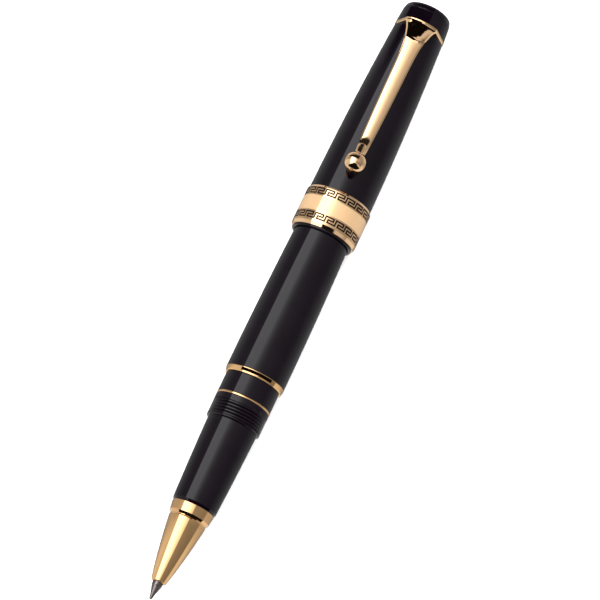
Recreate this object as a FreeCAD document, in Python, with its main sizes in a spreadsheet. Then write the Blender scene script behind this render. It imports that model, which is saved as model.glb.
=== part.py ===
import math
import os

import FreeCAD
import Part
import Sketcher

# A posted rollerball pen: black resin with gold trim.
# Every turned piece is drawn in the pen's own frame: stations run along X from the writing
# ball's foremost point to the crown, and radii are measured from the pen's axis.
# Each piece's Placement then lays the pen down: X along the pen, clip up, lowest point at Z = 0.

SHEET = "Sizes"

SIZES = {
    # the whole pen
    "total_length": 152.35,
    "seat_gap": 0.02,
    "running_gap": 0.10,
    "free_gap": 0.05,
    # writing ball and refill tip
    "ball_radius": 0.25,
    "ball_play": 0.015,
    "tip_rim": 0.17,
    "tip_rim_radius": 0.285,
    "tip_waist": 1.25,
    "tip_waist_radius": 0.53,
    "tip_cone_end": 3.3,
    "tip_cone_radius": 1.12,
    "tip_collar_radius": 1.20,
    "tip_collar_end": 8.6,
    "tip_spigot_radius": 0.90,
    "tip_spigot_end": 12.0,
    "ink_channel_radius": 0.10,
    "ink_channel_end": 1.2,
    "ink_bore_start": 1.8,
    "ink_bore_radius": 0.50,
    # refill
    "refill_neck_end": 13.2,
    "refill_neck_radius": 2.05,
    "refill_nose_radius": 2.40,
    "refill_shoulder": 24.0,
    "refill_flange_end": 25.2,
    "refill_radius": 3.05,
    "refill_wall": 0.40,
    "refill_spigot_end": 29.0,
    "refill_end": 108.5,
    "refill_plug_start": 105.0,
    "refill_plug_flange": 107.9,
    "reservoir_start": 29.6,
    "reservoir_end": 104.4,
    "reservoir_radius": 2.45,
    # nose cone
    "cone_front": 4.23,
    "cone_front_radius": 1.72,
    "cone_middle": 11.5,
    "cone_middle_radius": 3.20,
    "cone_back": 19.35,
    "cone_back_radius": 4.37,
    "cone_lip_round": 0.30,
    "groove_front": 19.6,
    "cone_spigot_radius": 4.05,
    "cone_spigot_end": 28.0,
    "cone_first_bore": 1.30,
    "cone_first_step": 8.45,
    "cone_second_bore": 2.15,
    "cone_second_step": 13.1,
    "cone_third_bore": 2.55,
    # gold ring behind the nose cone
    "nose_ring_front": 20.3,
    "nose_ring_front_radius": 4.72,
    "nose_ring_back": 22.63,
    "nose_ring_back_radius": 4.98,
    "nose_ring_round": 0.18,
    # grip section
    "grip_front_radius": 5.20,
    "grip_middle": 33.0,
    "grip_middle_radius": 5.61,
    "grip_back": 43.38,
    "grip_back_radius": 5.92,
    "grip_round": 0.25,
    "grip_spigot_radius": 5.30,
    "grip_spigot_end": 48.95,
    "grip_counterbore_start": 41.0,
    "nipple_front_radius": 4.60,
    "grip_bore": 3.35,
    # thread collar, thin ring and spacer
    "sleeve_radius": 6.435,
    "collar_chamfer": 0.25,
    "thread_first": 43.98,
    "thread_run": 3.0,
    "thread_turns": 5,
    "thread_depth": 0.30,
    "thread_half_width": 0.30,
    "thin_ring_front": 48.97,
    "thin_ring_back": 49.43,
    "thin_ring_radius": 6.50,
    "spacer_back": 54.29,
    # brass couplings between section and barrel
    "nipple_thread_radius": 4.40,
    "nipple_end": 62.3,
    "bush_radius": 5.60,
    "bush_end": 64.5,
    # barrel
    "barrel_ring_front": 54.33,
    "barrel_ring_back": 55.56,
    "barrel_ring_front_radius": 6.68,
    "barrel_ring_middle_radius": 6.95,
    "barrel_ring_back_radius": 7.075,
    "barrel_ring_bore": 4.90,
    "barrel_radius": 7.065,
    "barrel_middle": 86.7,
    "barrel_middle_radius": 6.68,
    "barrel_shoulder": 113.0,
    "barrel_shoulder_radius": 5.72,
    "barrel_end": 117.0,
    "barrel_end_radius": 3.2,
    "barrel_dome": 115.75,
    "barrel_dome_radius": 4.95,
    "barrel_bore": 3.60,
    "barrel_bore_end": 114.5,
    # spring behind the refill
    "spring_start": 108.55,
    "spring_end": 114.45,
    "spring_radius": 2.55,
    "spring_wire": 0.25,
    "spring_turns": 5.0,
    # cap shell
    "cap_mouth": 91.55,
    "cap_lip_radius": 7.30,
    "cap_lip_round": 0.20,
    "cap_mouth_bore": 6.75,
    "band_front": 92.05,
    "band_back": 101.77,
    "band_seat_radius": 7.15,
    "cap_flank_radius": 7.53,
    "cap_flank_middle": 124.2,
    "cap_flank_middle_radius": 7.05,
    "cap_end": 146.05,
    "cap_end_radius": 6.03,
    "cap_thread_front": 98.4,
    "cap_thread_bore": 6.48,
    "cap_thread_back": 103.4,
    "cap_rear_bore": 6.10,
    "liner_front": 117.5,
    "liner_seat_front": 6.06,
    "liner_seat_back": 5.20,
    "cap_wall_front": 143.0,
    # cap band and its two enamel rings
    "band_radius": 7.85,
    "band_front_radius": 7.45,
    "band_bevel_end": 92.85,
    "band_bevel_bow": 0.09,
    "band_rear_bevel": 101.3,
    "band_back_radius": 7.66,
    "enamel_depth": 0.12,
    "enamel_lower_front": 93.50,
    "enamel_lower_back": 95.10,
    "enamel_upper_front": 99.54,
    "enamel_upper_back": 101.15,
    # inner cap
    "liner_lip": 117.6,
    "liner_bore_front": 5.55,
    "liner_bore_back": 4.60,
    "liner_floor": 142.3,
    "liner_hole": 2.30,
    # crown and its screw
    "screw_front": 143.05,
    "screw_radius": 3.50,
    "screw_bore": 2.20,
    "screw_bore_end": 147.6,
    "screw_end": 150.0,
    "crown_front": 146.75,
    "crown_front_radius": 6.07,
    "crown_groove_front": 150.62,
    "crown_groove_front_radius": 5.85,
    "crown_groove_floor": 5.69,
    "crown_groove_back": 150.80,
    "crown_groove_back_radius": 5.76,
    "crown_edge": 151.10,
    "crown_edge_radius": 5.68,
    "crown_round_middle": 151.98,
    "crown_round_middle_radius": 5.37,
    "crown_top_radius": 4.80,
    # clip
    "washer_front": 146.08,
    "washer_back": 146.73,
    "washer_radius": 6.15,
    "bar_half_width": 3.70,
    "bar_corner_height": 7.40,
    "bar_front_height": 8.60,
    "clip_ball_station": 108.6,
    "clip_ball_height": 10.05,
    "clip_ball_radius": 2.50,
    "clip_neck_start": 1.2,
    "clip_neck_drop": 0.25,
    "clip_neck_end": 112.9,
    "clip_neck_radius": 1.05,
    "clip_neck_wide": 2.10,
}

# Cross-sections of the clip blade, from the bar down to the neck:
# name, station, half width, height of the back, of the side edges and of the middle of the front.
BLADE_SECTIONS = [
    ("root", 146.03, 3.68, 6.83, 7.38, 8.55),
    ("flare", 144.20, 2.90, 6.60, 6.95, 7.70),
    ("throat", 142.20, 2.30, 6.44, 6.60, 6.88),
    ("waist", 140.40, 2.06, 6.46, 6.58, 6.81),
    ("upper", 137.00, 1.88, 6.61, 6.73, 6.97),
    ("middle", 128.00, 1.73, 7.02, 7.15, 7.39),
    ("shin", 119.00, 1.52, 7.37, 7.51, 7.76),
    ("lower", 114.60, 1.36, 7.60, 7.74, 8.00),
    ("bend", 112.60, 1.26, 8.22, 8.44, 8.72),
    ("neck", 110.80, 1.20, 9.05, 9.35, 9.66),
]

HELIX_SEGMENT = 0.5  # turns of the spring's path in each of its spline pieces
LEAST_CUT = 1.0  # cubic mm; a cut that takes less has missed its solid

document = FreeCAD.newDocument("rollerball_pen")
sheet = document.addObject("Spreadsheet::Sheet", SHEET)
pieces = []


class Size:
    """A length that keeps both its sheet expression and its present value."""

    def __init__(self, text, value):
        self.text = text
        self.value = value

    def __add__(self, other):
        other = as_size(other)
        return Size(f"({self.text} + {other.text})", self.value + other.value)

    def __sub__(self, other):
        other = as_size(other)
        return Size(f"({self.text} - {other.text})", self.value - other.value)

    def __mul__(self, factor):
        return Size(f"({self.text} * {factor})", self.value * factor)


class Sizes:
    """Reads a driving dimension of the sheet by its alias."""

    def __getattr__(self, alias):
        return Size(f"{SHEET}.{alias}", SIZES[alias])


def as_size(number):
    if isinstance(number, Size):
        return number
    return Size(repr(number), number)


def fill_sheet():
    """Write every driving dimension as a plain number with its alias."""
    for name, station, half_width, back, edge, front in BLADE_SECTIONS:
        SIZES[f"blade_{name}_station"] = station
        SIZES[f"blade_{name}_half_width"] = half_width
        SIZES[f"blade_{name}_back"] = back
        SIZES[f"blade_{name}_edge"] = edge
        SIZES[f"blade_{name}_front"] = front
    for row, (alias, value) in enumerate(SIZES.items(), start=1):
        sheet.set(f"A{row}", alias.replace("_", " "))
        sheet.set(f"B{row}", str(value))
        sheet.setAlias(f"B{row}", alias)
    document.recompute()


def lay_down(piece, label):
    """Name a finished piece and put it in the pen's lying frame."""
    piece.Label = label
    piece.setExpression(".Placement.Base.x", f"-{SHEET}.total_length / 2")
    piece.setExpression(".Placement.Base.z", f"{SHEET}.band_radius")
    pieces.append(piece)
    return piece


def origin_plane(body, role):
    return next(item for item in body.Origin.OriginFeatures if item.Role == role)


def plane_sketch(body, name, role):
    sketch = body.newObject("Sketcher::SketchObject", name)
    sketch.AttachmentSupport = [(origin_plane(body, role), "")]
    sketch.MapMode = "FlatFace"
    return sketch


def bind(sketch, kind, geometry, end, size, name):
    """Hold one point at a sheet distance from the sketch's origin."""
    if abs(size.value) < 1e-9:
        axis = -1 if kind == "DistanceY" else -2
        sketch.addConstraint(Sketcher.Constraint("PointOnObject", geometry, end, axis))
        return
    sign = 1 if size.value > 0 else -1
    first = (-1, 1, geometry, end) if sign > 0 else (geometry, end, -1, 1)
    index = sketch.addConstraint(Sketcher.Constraint(kind, *first, abs(size.value)))
    sketch.renameConstraint(index, name)
    text = size.text if sign > 0 else f"-{size.text}"
    sketch.setExpression(f"Constraints.{name}", text)


def draw_edge(sketch, start, via, end):
    """Add a line, or an arc through via, and return its index and the two end numbers."""
    first = FreeCAD.Vector(start[0].value, start[1].value, 0)
    last = FreeCAD.Vector(end[0].value, end[1].value, 0)
    if via is None:
        return sketch.addGeometry(Part.LineSegment(first, last)), 1, 2
    middle = FreeCAD.Vector(via[0].value, via[1].value, 0)
    turns_left = (middle - first).cross(last - middle).z > 0
    if turns_left:
        return sketch.addGeometry(Part.Arc(first, middle, last)), 1, 2
    return sketch.addGeometry(Part.Arc(last, middle, first)), 2, 1


def closed_outline(sketch, outline):
    """Draw a closed outline of points; a third entry in a point bends its edge through there."""
    count = len(outline)
    edges = []
    for number, point in enumerate(outline):
        via = point[2] if len(point) > 2 else None
        edges.append(draw_edge(sketch, point, via, outline[(number + 1) % count]))
    for number, point in enumerate(outline):
        index, begin, finish = edges[number]
        after, after_begin, _ = edges[(number + 1) % count]
        sketch.addConstraint(Sketcher.Constraint("Coincident", index, finish, after, after_begin))
        bind(sketch, "DistanceX", index, begin, point[0], f"across_{number}")
        bind(sketch, "DistanceY", index, begin, point[1], f"up_{number}")
        if len(point) > 2:
            via = point[2]
            spot = sketch.addGeometry(Part.Point(FreeCAD.Vector(via[0].value, via[1].value, 0)), True)
            bind(sketch, "DistanceX", spot, 1, via[0], f"via_across_{number}")
            bind(sketch, "DistanceY", spot, 1, via[1], f"via_up_{number}")
            sketch.addConstraint(Sketcher.Constraint("PointOnObject", spot, 1, index))


def turned(label, outline):
    """A piece turned about the pen's axis from its half outline of (station, radius)."""
    body = document.addObject("PartDesign::Body", label)
    sketch = plane_sketch(body, f"{label}_outline", "XZ_Plane")
    closed_outline(sketch, outline)
    turn = body.newObject("PartDesign::Revolution", f"{label}_turn")
    turn.Profile = sketch
    turn.ReferenceAxis = (sketch, ["H_Axis"])
    turn.Angle = 360
    sketch.Visibility = False
    return lay_down(body, label)


def ring_edges(shape, spots):
    """Names of the circular edges at the given (station, radius) spots."""
    names = []
    for number, edge in enumerate(shape.Edges, start=1):
        if not isinstance(edge.Curve, Part.Circle):
            continue
        for station, radius in spots:
            near = abs(edge.Curve.Center.x - station.value) < 1e-4
            if near and abs(edge.Curve.Radius - radius.value) < 1e-4:
                names.append(f"Edge{number}")
    return names


def dress(body, kind, spots, size):
    """Fillet or chamfer the turned edges at the given spots."""
    document.recompute()
    base = body.Tip
    names = ring_edges(base.Shape, spots)
    if len(names) < len(spots):
        raise RuntimeError(f"{body.Label}: an edge to dress is missing")
    feature = body.newObject(f"PartDesign::{kind}", f"{body.Label}_{kind.lower()}")
    feature.Base = (base, names)
    feature.setExpression("Radius" if kind == "Fillet" else "Size", size.text)
    return feature


# --- the refill ---------------------------------------------------------------------------

def make_writing_ball(s):
    ball = document.addObject("Part::Sphere", "writing_ball")
    ball.setExpression("Radius", s.ball_radius.text)
    lay_down(ball, "writing_ball")
    ball.setExpression(".Placement.Base.x", f"{s.ball_radius.text} - {SHEET}.total_length / 2")


def make_refill_tip(s):
    """Steel cone: the rim reaches past the ball's equator, so the socket holds the ball."""
    socket = s.ball_radius + s.ball_play
    ahead = SIZES["ball_radius"] - SIZES["tip_rim"]
    rim_inner = Size(
        f"sqrt({socket.text} ^ 2 - ({SHEET}.ball_radius - {SHEET}.tip_rim) ^ 2)",
        math.sqrt(socket.value ** 2 - ahead ** 2),
    )
    seat_depth = Size(
        f"({SHEET}.ball_radius + sqrt({socket.text} ^ 2 - {SHEET}.ink_channel_radius ^ 2))",
        SIZES["ball_radius"] + math.sqrt(socket.value ** 2 - SIZES["ink_channel_radius"] ** 2),
    )
    turned("refill_tip", [
        (s.tip_rim, rim_inner, (s.ball_radius, socket)),
        (seat_depth, s.ink_channel_radius),
        (s.ink_channel_end, s.ink_channel_radius),
        (s.ink_bore_start, s.ink_bore_radius),
        (s.tip_spigot_end, s.ink_bore_radius),
        (s.tip_spigot_end, s.tip_spigot_radius),
        (s.tip_collar_end, s.tip_spigot_radius),
        (s.tip_collar_end, s.tip_collar_radius),
        (s.tip_cone_end, s.tip_collar_radius),
        (s.tip_cone_end, s.tip_cone_radius),
        (s.tip_waist, s.tip_waist_radius),
        (s.tip_rim, s.tip_rim_radius),
    ])


def make_refill_body(s):
    """Plastic nose, metal tube, fibre reservoir and end plug of the refill."""
    inside = s.refill_radius - s.refill_wall
    plug = inside - s.seat_gap
    spigot = s.tip_spigot_radius + s.seat_gap
    turned("refill_nose", [
        (s.tip_collar_end, spigot),
        (s.tip_spigot_end, spigot),
        (s.tip_spigot_end + s.free_gap, s.ink_bore_radius),
        (s.refill_spigot_end, s.ink_bore_radius),
        (s.refill_spigot_end, plug),
        (s.refill_flange_end, plug),
        (s.refill_flange_end, s.refill_radius),
        (s.refill_shoulder, s.refill_radius),
        (s.refill_shoulder, s.refill_nose_radius),
        (s.refill_neck_end, s.refill_nose_radius),
        (s.refill_neck_end, s.refill_neck_radius),
        (s.tip_collar_end, s.refill_neck_radius),
    ])
    turned("refill_tube", [
        (s.refill_flange_end, inside),
        (s.refill_plug_flange, inside),
        (s.refill_plug_flange, s.refill_radius),
        (s.refill_flange_end, s.refill_radius),
    ])
    axis = as_size(0.0)
    turned("refill_reservoir", [
        (s.reservoir_start, axis),
        (s.reservoir_end, axis),
        (s.reservoir_end, s.reservoir_radius),
        (s.reservoir_start, s.reservoir_radius),
    ])
    turned("refill_end_plug", [
        (s.refill_plug_start, axis),
        (s.refill_end, axis),
        (s.refill_end, s.refill_radius),
        (s.refill_plug_flange, s.refill_radius),
        (s.refill_plug_flange, plug),
        (s.refill_plug_start, plug),
    ])


# --- the front section --------------------------------------------------------------------

def make_nose(s):
    """Gold nose cone with a stepped bore for the refill, and the ring behind its groove."""
    cone = turned("nose_cone", [
        (s.cone_front, s.cone_first_bore),
        (s.cone_first_step, s.cone_first_bore),
        (s.cone_first_step, s.cone_second_bore),
        (s.cone_second_step, s.cone_second_bore),
        (s.cone_second_step, s.cone_third_bore),
        (s.refill_shoulder - s.free_gap, s.cone_third_bore),
        (s.refill_shoulder - s.free_gap, s.refill_radius + s.running_gap),
        (s.cone_spigot_end, s.refill_radius + s.running_gap),
        (s.cone_spigot_end, s.cone_spigot_radius),
        (s.groove_front, s.cone_spigot_radius),
        (s.cone_back, s.cone_back_radius, (s.cone_middle, s.cone_middle_radius)),
        (s.cone_front, s.cone_front_radius),
    ])
    dress(cone, "Fillet", [(s.cone_front, s.cone_front_radius)], s.cone_lip_round)
    bore = s.cone_spigot_radius + s.seat_gap
    ring = turned("nose_ring", [
        (s.nose_ring_front, bore),
        (s.nose_ring_back, bore),
        (s.nose_ring_back, s.nose_ring_back_radius),
        (s.nose_ring_front, s.nose_ring_front_radius),
    ])
    edges = [(s.nose_ring_front, s.nose_ring_front_radius), (s.nose_ring_back, s.nose_ring_back_radius)]
    dress(ring, "Fillet", edges, s.nose_ring_round)


def make_grip(s):
    """Black grip with a rear spigot that carries the thread collar."""
    front = s.nose_ring_back
    grip = turned("grip_section", [
        (front, s.cone_spigot_radius + s.seat_gap),
        (s.cone_spigot_end + s.seat_gap, s.cone_spigot_radius + s.seat_gap),
        (s.cone_spigot_end + s.seat_gap, s.grip_bore),
        (s.grip_counterbore_start, s.grip_bore),
        (s.grip_counterbore_start, s.nipple_front_radius + s.seat_gap),
        (s.grip_spigot_end, s.nipple_front_radius + s.seat_gap),
        (s.grip_spigot_end, s.grip_spigot_radius),
        (s.grip_back, s.grip_spigot_radius),
        (s.grip_back, s.grip_back_radius, (s.grip_middle, s.grip_middle_radius)),
        (front, s.grip_front_radius),
    ])
    dress(grip, "Fillet", [(front, s.grip_front_radius)], s.grip_round)


def make_thread_collar(s):
    """Sleeve with the cap's thread, cut as equally spaced V grooves."""
    bore = s.grip_spigot_radius + s.seat_gap
    collar = turned("thread_collar", [
        (s.grip_back, bore),
        (s.thin_ring_front, bore),
        (s.thin_ring_front, s.sleeve_radius),
        (s.grip_back, s.sleeve_radius),
    ])
    dress(collar, "Chamfer", [(s.grip_back, s.sleeve_radius)], s.collar_chamfer)
    document.recompute()
    volume_before = collar.Shape.Volume
    profile = plane_sketch(collar, "thread_groove_outline", "XZ_Plane")
    crest = s.sleeve_radius + s.free_gap
    closed_outline(profile, [
        (s.thread_first - s.thread_half_width, crest),
        (s.thread_first, s.sleeve_radius - s.thread_depth),
        (s.thread_first + s.thread_half_width, crest),
    ])
    groove = collar.newObject("PartDesign::Groove", "thread_groove")
    groove.Profile = profile
    groove.ReferenceAxis = (profile, ["H_Axis"])
    groove.Angle = 360
    pattern = collar.newObject("PartDesign::LinearPattern", "thread_turns")
    pattern.Originals = [groove]
    pattern.Direction = (profile, ["H_Axis"])
    pattern.setExpression("Length", s.thread_run.text)
    pattern.setExpression("Occurrences", s.thread_turns.text)
    collar.Tip = pattern
    document.recompute()
    if collar.Shape.Volume > volume_before - LEAST_CUT:
        raise RuntimeError("the thread grooves cut nothing")


def make_sleeves(s):
    """Thin gold ring, black spacer and the brass nipple that holds them to the grip."""
    bore = s.nipple_front_radius + s.seat_gap
    turned("collar_ring", [
        (s.thin_ring_front, bore),
        (s.thin_ring_back, bore),
        (s.thin_ring_back, s.thin_ring_radius),
        (s.thin_ring_front, s.thin_ring_radius),
    ])
    turned("spacer_sleeve", [
        (s.thin_ring_back, bore),
        (s.spacer_back, bore),
        (s.spacer_back, s.sleeve_radius),
        (s.thin_ring_back, s.sleeve_radius),
    ])
    start = s.grip_counterbore_start + s.seat_gap
    turned("section_nipple", [
        (start, s.grip_bore),
        (s.nipple_end, s.grip_bore),
        (s.nipple_end, s.nipple_thread_radius),
        (s.spacer_back, s.nipple_thread_radius),
        (s.spacer_back, s.nipple_front_radius),
        (start, s.nipple_front_radius),
    ])


# --- the barrel ---------------------------------------------------------------------------

def make_barrel(s):
    """Tapered black barrel, closed at its tail, with a gold ring and a brass bush."""
    counterbore = s.bush_radius + s.seat_gap
    axis = as_size(0.0)
    turned("barrel_tube", [
        (s.barrel_ring_back, counterbore),
        (s.bush_end + s.seat_gap, counterbore),
        (s.bush_end + s.seat_gap, s.barrel_bore),
        (s.barrel_bore_end, s.barrel_bore),
        (s.barrel_bore_end, axis),
        (s.barrel_end, axis),
        (s.barrel_end, s.barrel_end_radius, (s.barrel_dome, s.barrel_dome_radius)),
        (s.barrel_shoulder, s.barrel_shoulder_radius, (s.barrel_middle, s.barrel_middle_radius)),
        (s.barrel_ring_back, s.barrel_radius),
    ])
    middle = (s.barrel_ring_front + s.barrel_ring_back) * 0.5
    turned("barrel_ring", [
        (s.barrel_ring_front, s.barrel_ring_bore),
        (s.barrel_ring_back, s.barrel_ring_bore),
        (s.barrel_ring_back, s.barrel_ring_back_radius, (middle, s.barrel_ring_middle_radius)),
        (s.barrel_ring_front, s.barrel_ring_front_radius),
    ])
    thread = s.nipple_thread_radius + s.running_gap
    turned("barrel_bush", [
        (s.barrel_ring_back, thread),
        (s.bush_end, thread),
        (s.bush_end, s.bush_radius),
        (s.barrel_ring_back, s.bush_radius),
    ])


def make_spring(s):
    """Compressed wire spring between the refill's tail and the end of the barrel's bore."""
    helix = document.addObject("Part::Helix", "spring_path")
    length = f"({s.spring_end.text} - {s.spring_start.text} - 2 * {s.spring_wire.text})"
    helix.setExpression("Height", length)
    helix.setExpression("Pitch", f"{length} / {s.spring_turns.text}")
    helix.setExpression("Radius", s.spring_radius.text)
    helix.SegmentLength = HELIX_SEGMENT
    wire = document.addObject("Part::Circle", "spring_wire_section")
    wire.setExpression("Radius", s.spring_wire.text)
    wire.setExpression(".Placement.Base.x", s.spring_radius.text)
    wire.Placement.Rotation = FreeCAD.Rotation(FreeCAD.Vector(1, 0, 0), 90)
    spring = document.addObject("Part::Sweep", "refill_spring")
    spring.Sections = [wire]
    spring.Spine = helix
    spring.Solid = True
    spring.Frenet = True
    spring.Placement.Rotation = FreeCAD.Rotation(FreeCAD.Vector(0, 1, 0), 90)
    lay_down(spring, "refill_spring")
    start = f"{s.spring_start.text} + {s.spring_wire.text} - {SHEET}.total_length / 2"
    spring.setExpression(".Placement.Base.x", start)


# --- the cap ------------------------------------------------------------------------------

def make_cap_shell(s):
    """Black tapered tube, seated for the band outside and for the inner cap inside."""
    shell = turned("cap_shell", [
        (s.cap_mouth, s.cap_mouth_bore),
        (s.cap_thread_front, s.cap_mouth_bore),
        (s.cap_thread_front, s.cap_thread_bore),
        (s.cap_thread_back, s.cap_thread_bore),
        (s.liner_front, s.liner_seat_front),
        (s.cap_wall_front, s.liner_seat_back),
        (s.cap_wall_front, s.screw_radius + s.seat_gap),
        (s.cap_end, s.screw_radius + s.seat_gap),
        (s.cap_end, s.cap_end_radius, (s.cap_flank_middle, s.cap_flank_middle_radius)),
        (s.band_back, s.cap_flank_radius),
        (s.band_back, s.band_seat_radius),
        (s.band_front, s.band_seat_radius),
        (s.band_front, s.cap_lip_radius),
        (s.cap_mouth, s.cap_lip_radius),
    ])
    dress(shell, "Fillet", [(s.cap_mouth, s.cap_lip_radius)], s.cap_lip_round)


def enamel_floor(s):
    return s.band_radius - s.enamel_depth


def make_cap_band(s):
    """Gold band with a rounded front bevel and two shallow channels for enamel."""
    bore = s.band_seat_radius + s.seat_gap
    floor = enamel_floor(s)
    bevel_station = (s.band_front + s.band_bevel_end) * 0.5
    bevel_radius = (s.band_front_radius + s.band_radius) * 0.5 + s.band_bevel_bow
    turned("cap_band", [
        (s.band_front + s.seat_gap, bore),
        (s.band_back - s.seat_gap, bore),
        (s.band_back - s.seat_gap, s.band_back_radius),
        (s.band_rear_bevel, s.band_radius),
        (s.enamel_upper_back, s.band_radius),
        (s.enamel_upper_back, floor),
        (s.enamel_upper_front, floor),
        (s.enamel_upper_front, s.band_radius),
        (s.enamel_lower_back, s.band_radius),
        (s.enamel_lower_back, floor),
        (s.enamel_lower_front, floor),
        (s.enamel_lower_front, s.band_radius),
        (s.band_bevel_end, s.band_radius, (bevel_station, bevel_radius)),
        (s.band_front + s.seat_gap, s.band_front_radius),
    ])


def make_enamel(s, label, front, back):
    """One enamel ring, level with the band's surface."""
    floor = enamel_floor(s) + s.seat_gap
    turned(label, [
        (front + s.seat_gap, floor),
        (back - s.seat_gap, floor),
        (back - s.seat_gap, s.band_radius),
        (front + s.seat_gap, s.band_radius),
    ])


def make_cap_inside(s):
    """Inner cap that seals on the grip, and the hollow screw that holds crown and clip."""
    slope_gap = s.seat_gap
    turned("cap_liner", [
        (s.liner_lip, s.liner_bore_front),
        (s.liner_floor, s.liner_bore_back),
        (s.liner_floor, s.liner_hole),
        (s.cap_wall_front - slope_gap, s.liner_hole),
        (s.cap_wall_front - slope_gap, s.liner_seat_back - slope_gap),
        (s.liner_lip, s.liner_seat_front - slope_gap),
    ])
    axis = as_size(0.0)
    turned("crown_screw", [
        (s.screw_front, s.screw_bore),
        (s.screw_bore_end, s.screw_bore),
        (s.screw_bore_end, axis),
        (s.screw_end, axis),
        (s.screw_end, s.screw_radius),
        (s.screw_front, s.screw_radius),
    ])


def make_crown(s):
    """Black crown with a fine groove below its rounded top edge."""
    socket = s.screw_radius + s.seat_gap
    axis = as_size(0.0)
    turned("cap_crown", [
        (s.crown_front, socket),
        (s.screw_end + s.seat_gap, socket),
        (s.screw_end + s.seat_gap, axis),
        (s.total_length, axis),
        (s.total_length, s.crown_top_radius, (s.crown_round_middle, s.crown_round_middle_radius)),
        (s.crown_edge, s.crown_edge_radius),
        (s.crown_groove_back, s.crown_groove_back_radius),
        (s.crown_groove_back, s.crown_groove_floor),
        (s.crown_groove_front, s.crown_groove_floor),
        (s.crown_groove_front, s.crown_groove_front_radius),
        (s.crown_front, s.crown_front_radius),
    ])


# --- the clip -----------------------------------------------------------------------------

def tangent_point(radius, corner_across, corner_up):
    """Where the tangent from a corner touches the washer's circle."""
    distance = math.hypot(corner_across, corner_up)
    turn = math.atan2(corner_up, corner_across) - math.acos(radius / distance)
    return radius * math.cos(turn), radius * math.sin(turn)


def make_clip_washer(s):
    """Sheet washer under the crown; tangents lead from it to the bowed bar in front."""
    body = document.addObject("PartDesign::Body", "clip_washer")
    sketch = plane_sketch(body, "clip_washer_outline", "YZ_Plane")
    corner = (SIZES["bar_half_width"], SIZES["bar_corner_height"])
    across, up = tangent_point(SIZES["washer_radius"], *corner)
    right_foot = (as_size(across), as_size(up))
    left_foot = (as_size(-across), as_size(up))
    bottom = (as_size(0.0), s.washer_radius * -1)
    left_corner = (s.bar_half_width * -1, s.bar_corner_height)
    bar_front = (as_size(0.0), s.bar_front_height)
    closed_outline(sketch, [
        (right_foot[0], right_foot[1]),
        (s.bar_half_width, s.bar_corner_height, bar_front),
        (left_corner[0], left_corner[1]),
        (left_foot[0], left_foot[1], bottom),
    ])
    pad = body.newObject("PartDesign::Pad", "clip_washer_pad")
    pad.Profile = sketch
    pad.setExpression("Length", f"{s.washer_back.text} - {s.washer_front.text}")
    hole = plane_sketch(body, "clip_washer_hole", "YZ_Plane")
    circle = hole.addGeometry(Part.Circle(FreeCAD.Vector(0, 0, 0), FreeCAD.Vector(0, 0, 1), 1.0))
    hole.addConstraint(Sketcher.Constraint("Coincident", circle, 3, -1, 1))
    size = hole.addConstraint(Sketcher.Constraint("Radius", circle, 1.0))
    hole.renameConstraint(size, "hole_radius")
    hole.setExpression("Constraints.hole_radius", (s.screw_radius + s.seat_gap).text)
    for outline in (sketch, hole):
        outline.setExpression(".AttachmentOffset.Base.z", s.washer_front.text)
    document.recompute()
    volume_before = body.Shape.Volume
    pocket = body.newObject("PartDesign::Pocket", "clip_washer_pocket")
    pocket.Profile = hole
    pocket.Type = "ThroughAll"
    pocket.Reversed = True
    document.recompute()
    if body.Shape.Volume > volume_before - LEAST_CUT:
        raise RuntimeError("the washer's hole cut nothing")
    lay_down(body, "clip_washer")


def blade_section(body, s, name):
    """One cross-section of the blade: flat back, short side edges and a bowed front."""
    station = getattr(s, f"blade_{name}_station")
    half_width = getattr(s, f"blade_{name}_half_width")
    back = getattr(s, f"blade_{name}_back")
    edge = getattr(s, f"blade_{name}_edge")
    front = getattr(s, f"blade_{name}_front")
    sketch = plane_sketch(body, f"blade_{name}", "YZ_Plane")
    closed_outline(sketch, [
        (half_width * -1, back),
        (half_width, back),
        (half_width, edge, (as_size(0.0), front)),
        (half_width * -1, edge),
    ])
    sketch.setExpression(".AttachmentOffset.Base.z", station.text)
    return sketch


def make_clip_blade(s):
    """Blade lofted from the flared root at the bar down to the narrow neck at the ball."""
    body = document.addObject("PartDesign::Body", "clip_blade")
    sections = [blade_section(body, s, row[0]) for row in BLADE_SECTIONS]
    loft = body.newObject("PartDesign::AdditiveLoft", "clip_blade_loft")
    loft.Profile = sections[0]
    loft.Sections = sections[1:]
    loft.Ruled = True
    lay_down(body, "clip_blade")


def make_clip_ball(s):
    """Ball end with a short conical neck; it rests just clear of the cap."""
    ball = document.addObject("Part::Sphere", "clip_ball_sphere")
    ball.setExpression("Radius", s.clip_ball_radius.text)
    ball.setExpression(".Placement.Base.x", s.clip_ball_station.text)
    ball.setExpression(".Placement.Base.z", s.clip_ball_height.text)
    neck = document.addObject("Part::Cone", "clip_ball_neck")
    neck.setExpression("Radius1", s.clip_neck_wide.text)
    neck.setExpression("Radius2", s.clip_neck_radius.text)
    start = f"({s.clip_ball_station.text} + {s.clip_neck_start.text})"
    neck.setExpression("Height", f"{s.clip_neck_end.text} - {start}")
    neck.Placement.Rotation = FreeCAD.Rotation(FreeCAD.Vector(0, 1, 0), 90)
    neck.setExpression(".Placement.Base.x", start)
    neck.setExpression(".Placement.Base.z", f"{s.clip_ball_height.text} - {s.clip_neck_drop.text}")
    joined = document.addObject("Part::Fuse", "clip_ball")
    joined.Base = ball
    joined.Tool = neck
    lay_down(joined, "clip_ball")


# --- checks and writing -------------------------------------------------------------------

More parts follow.
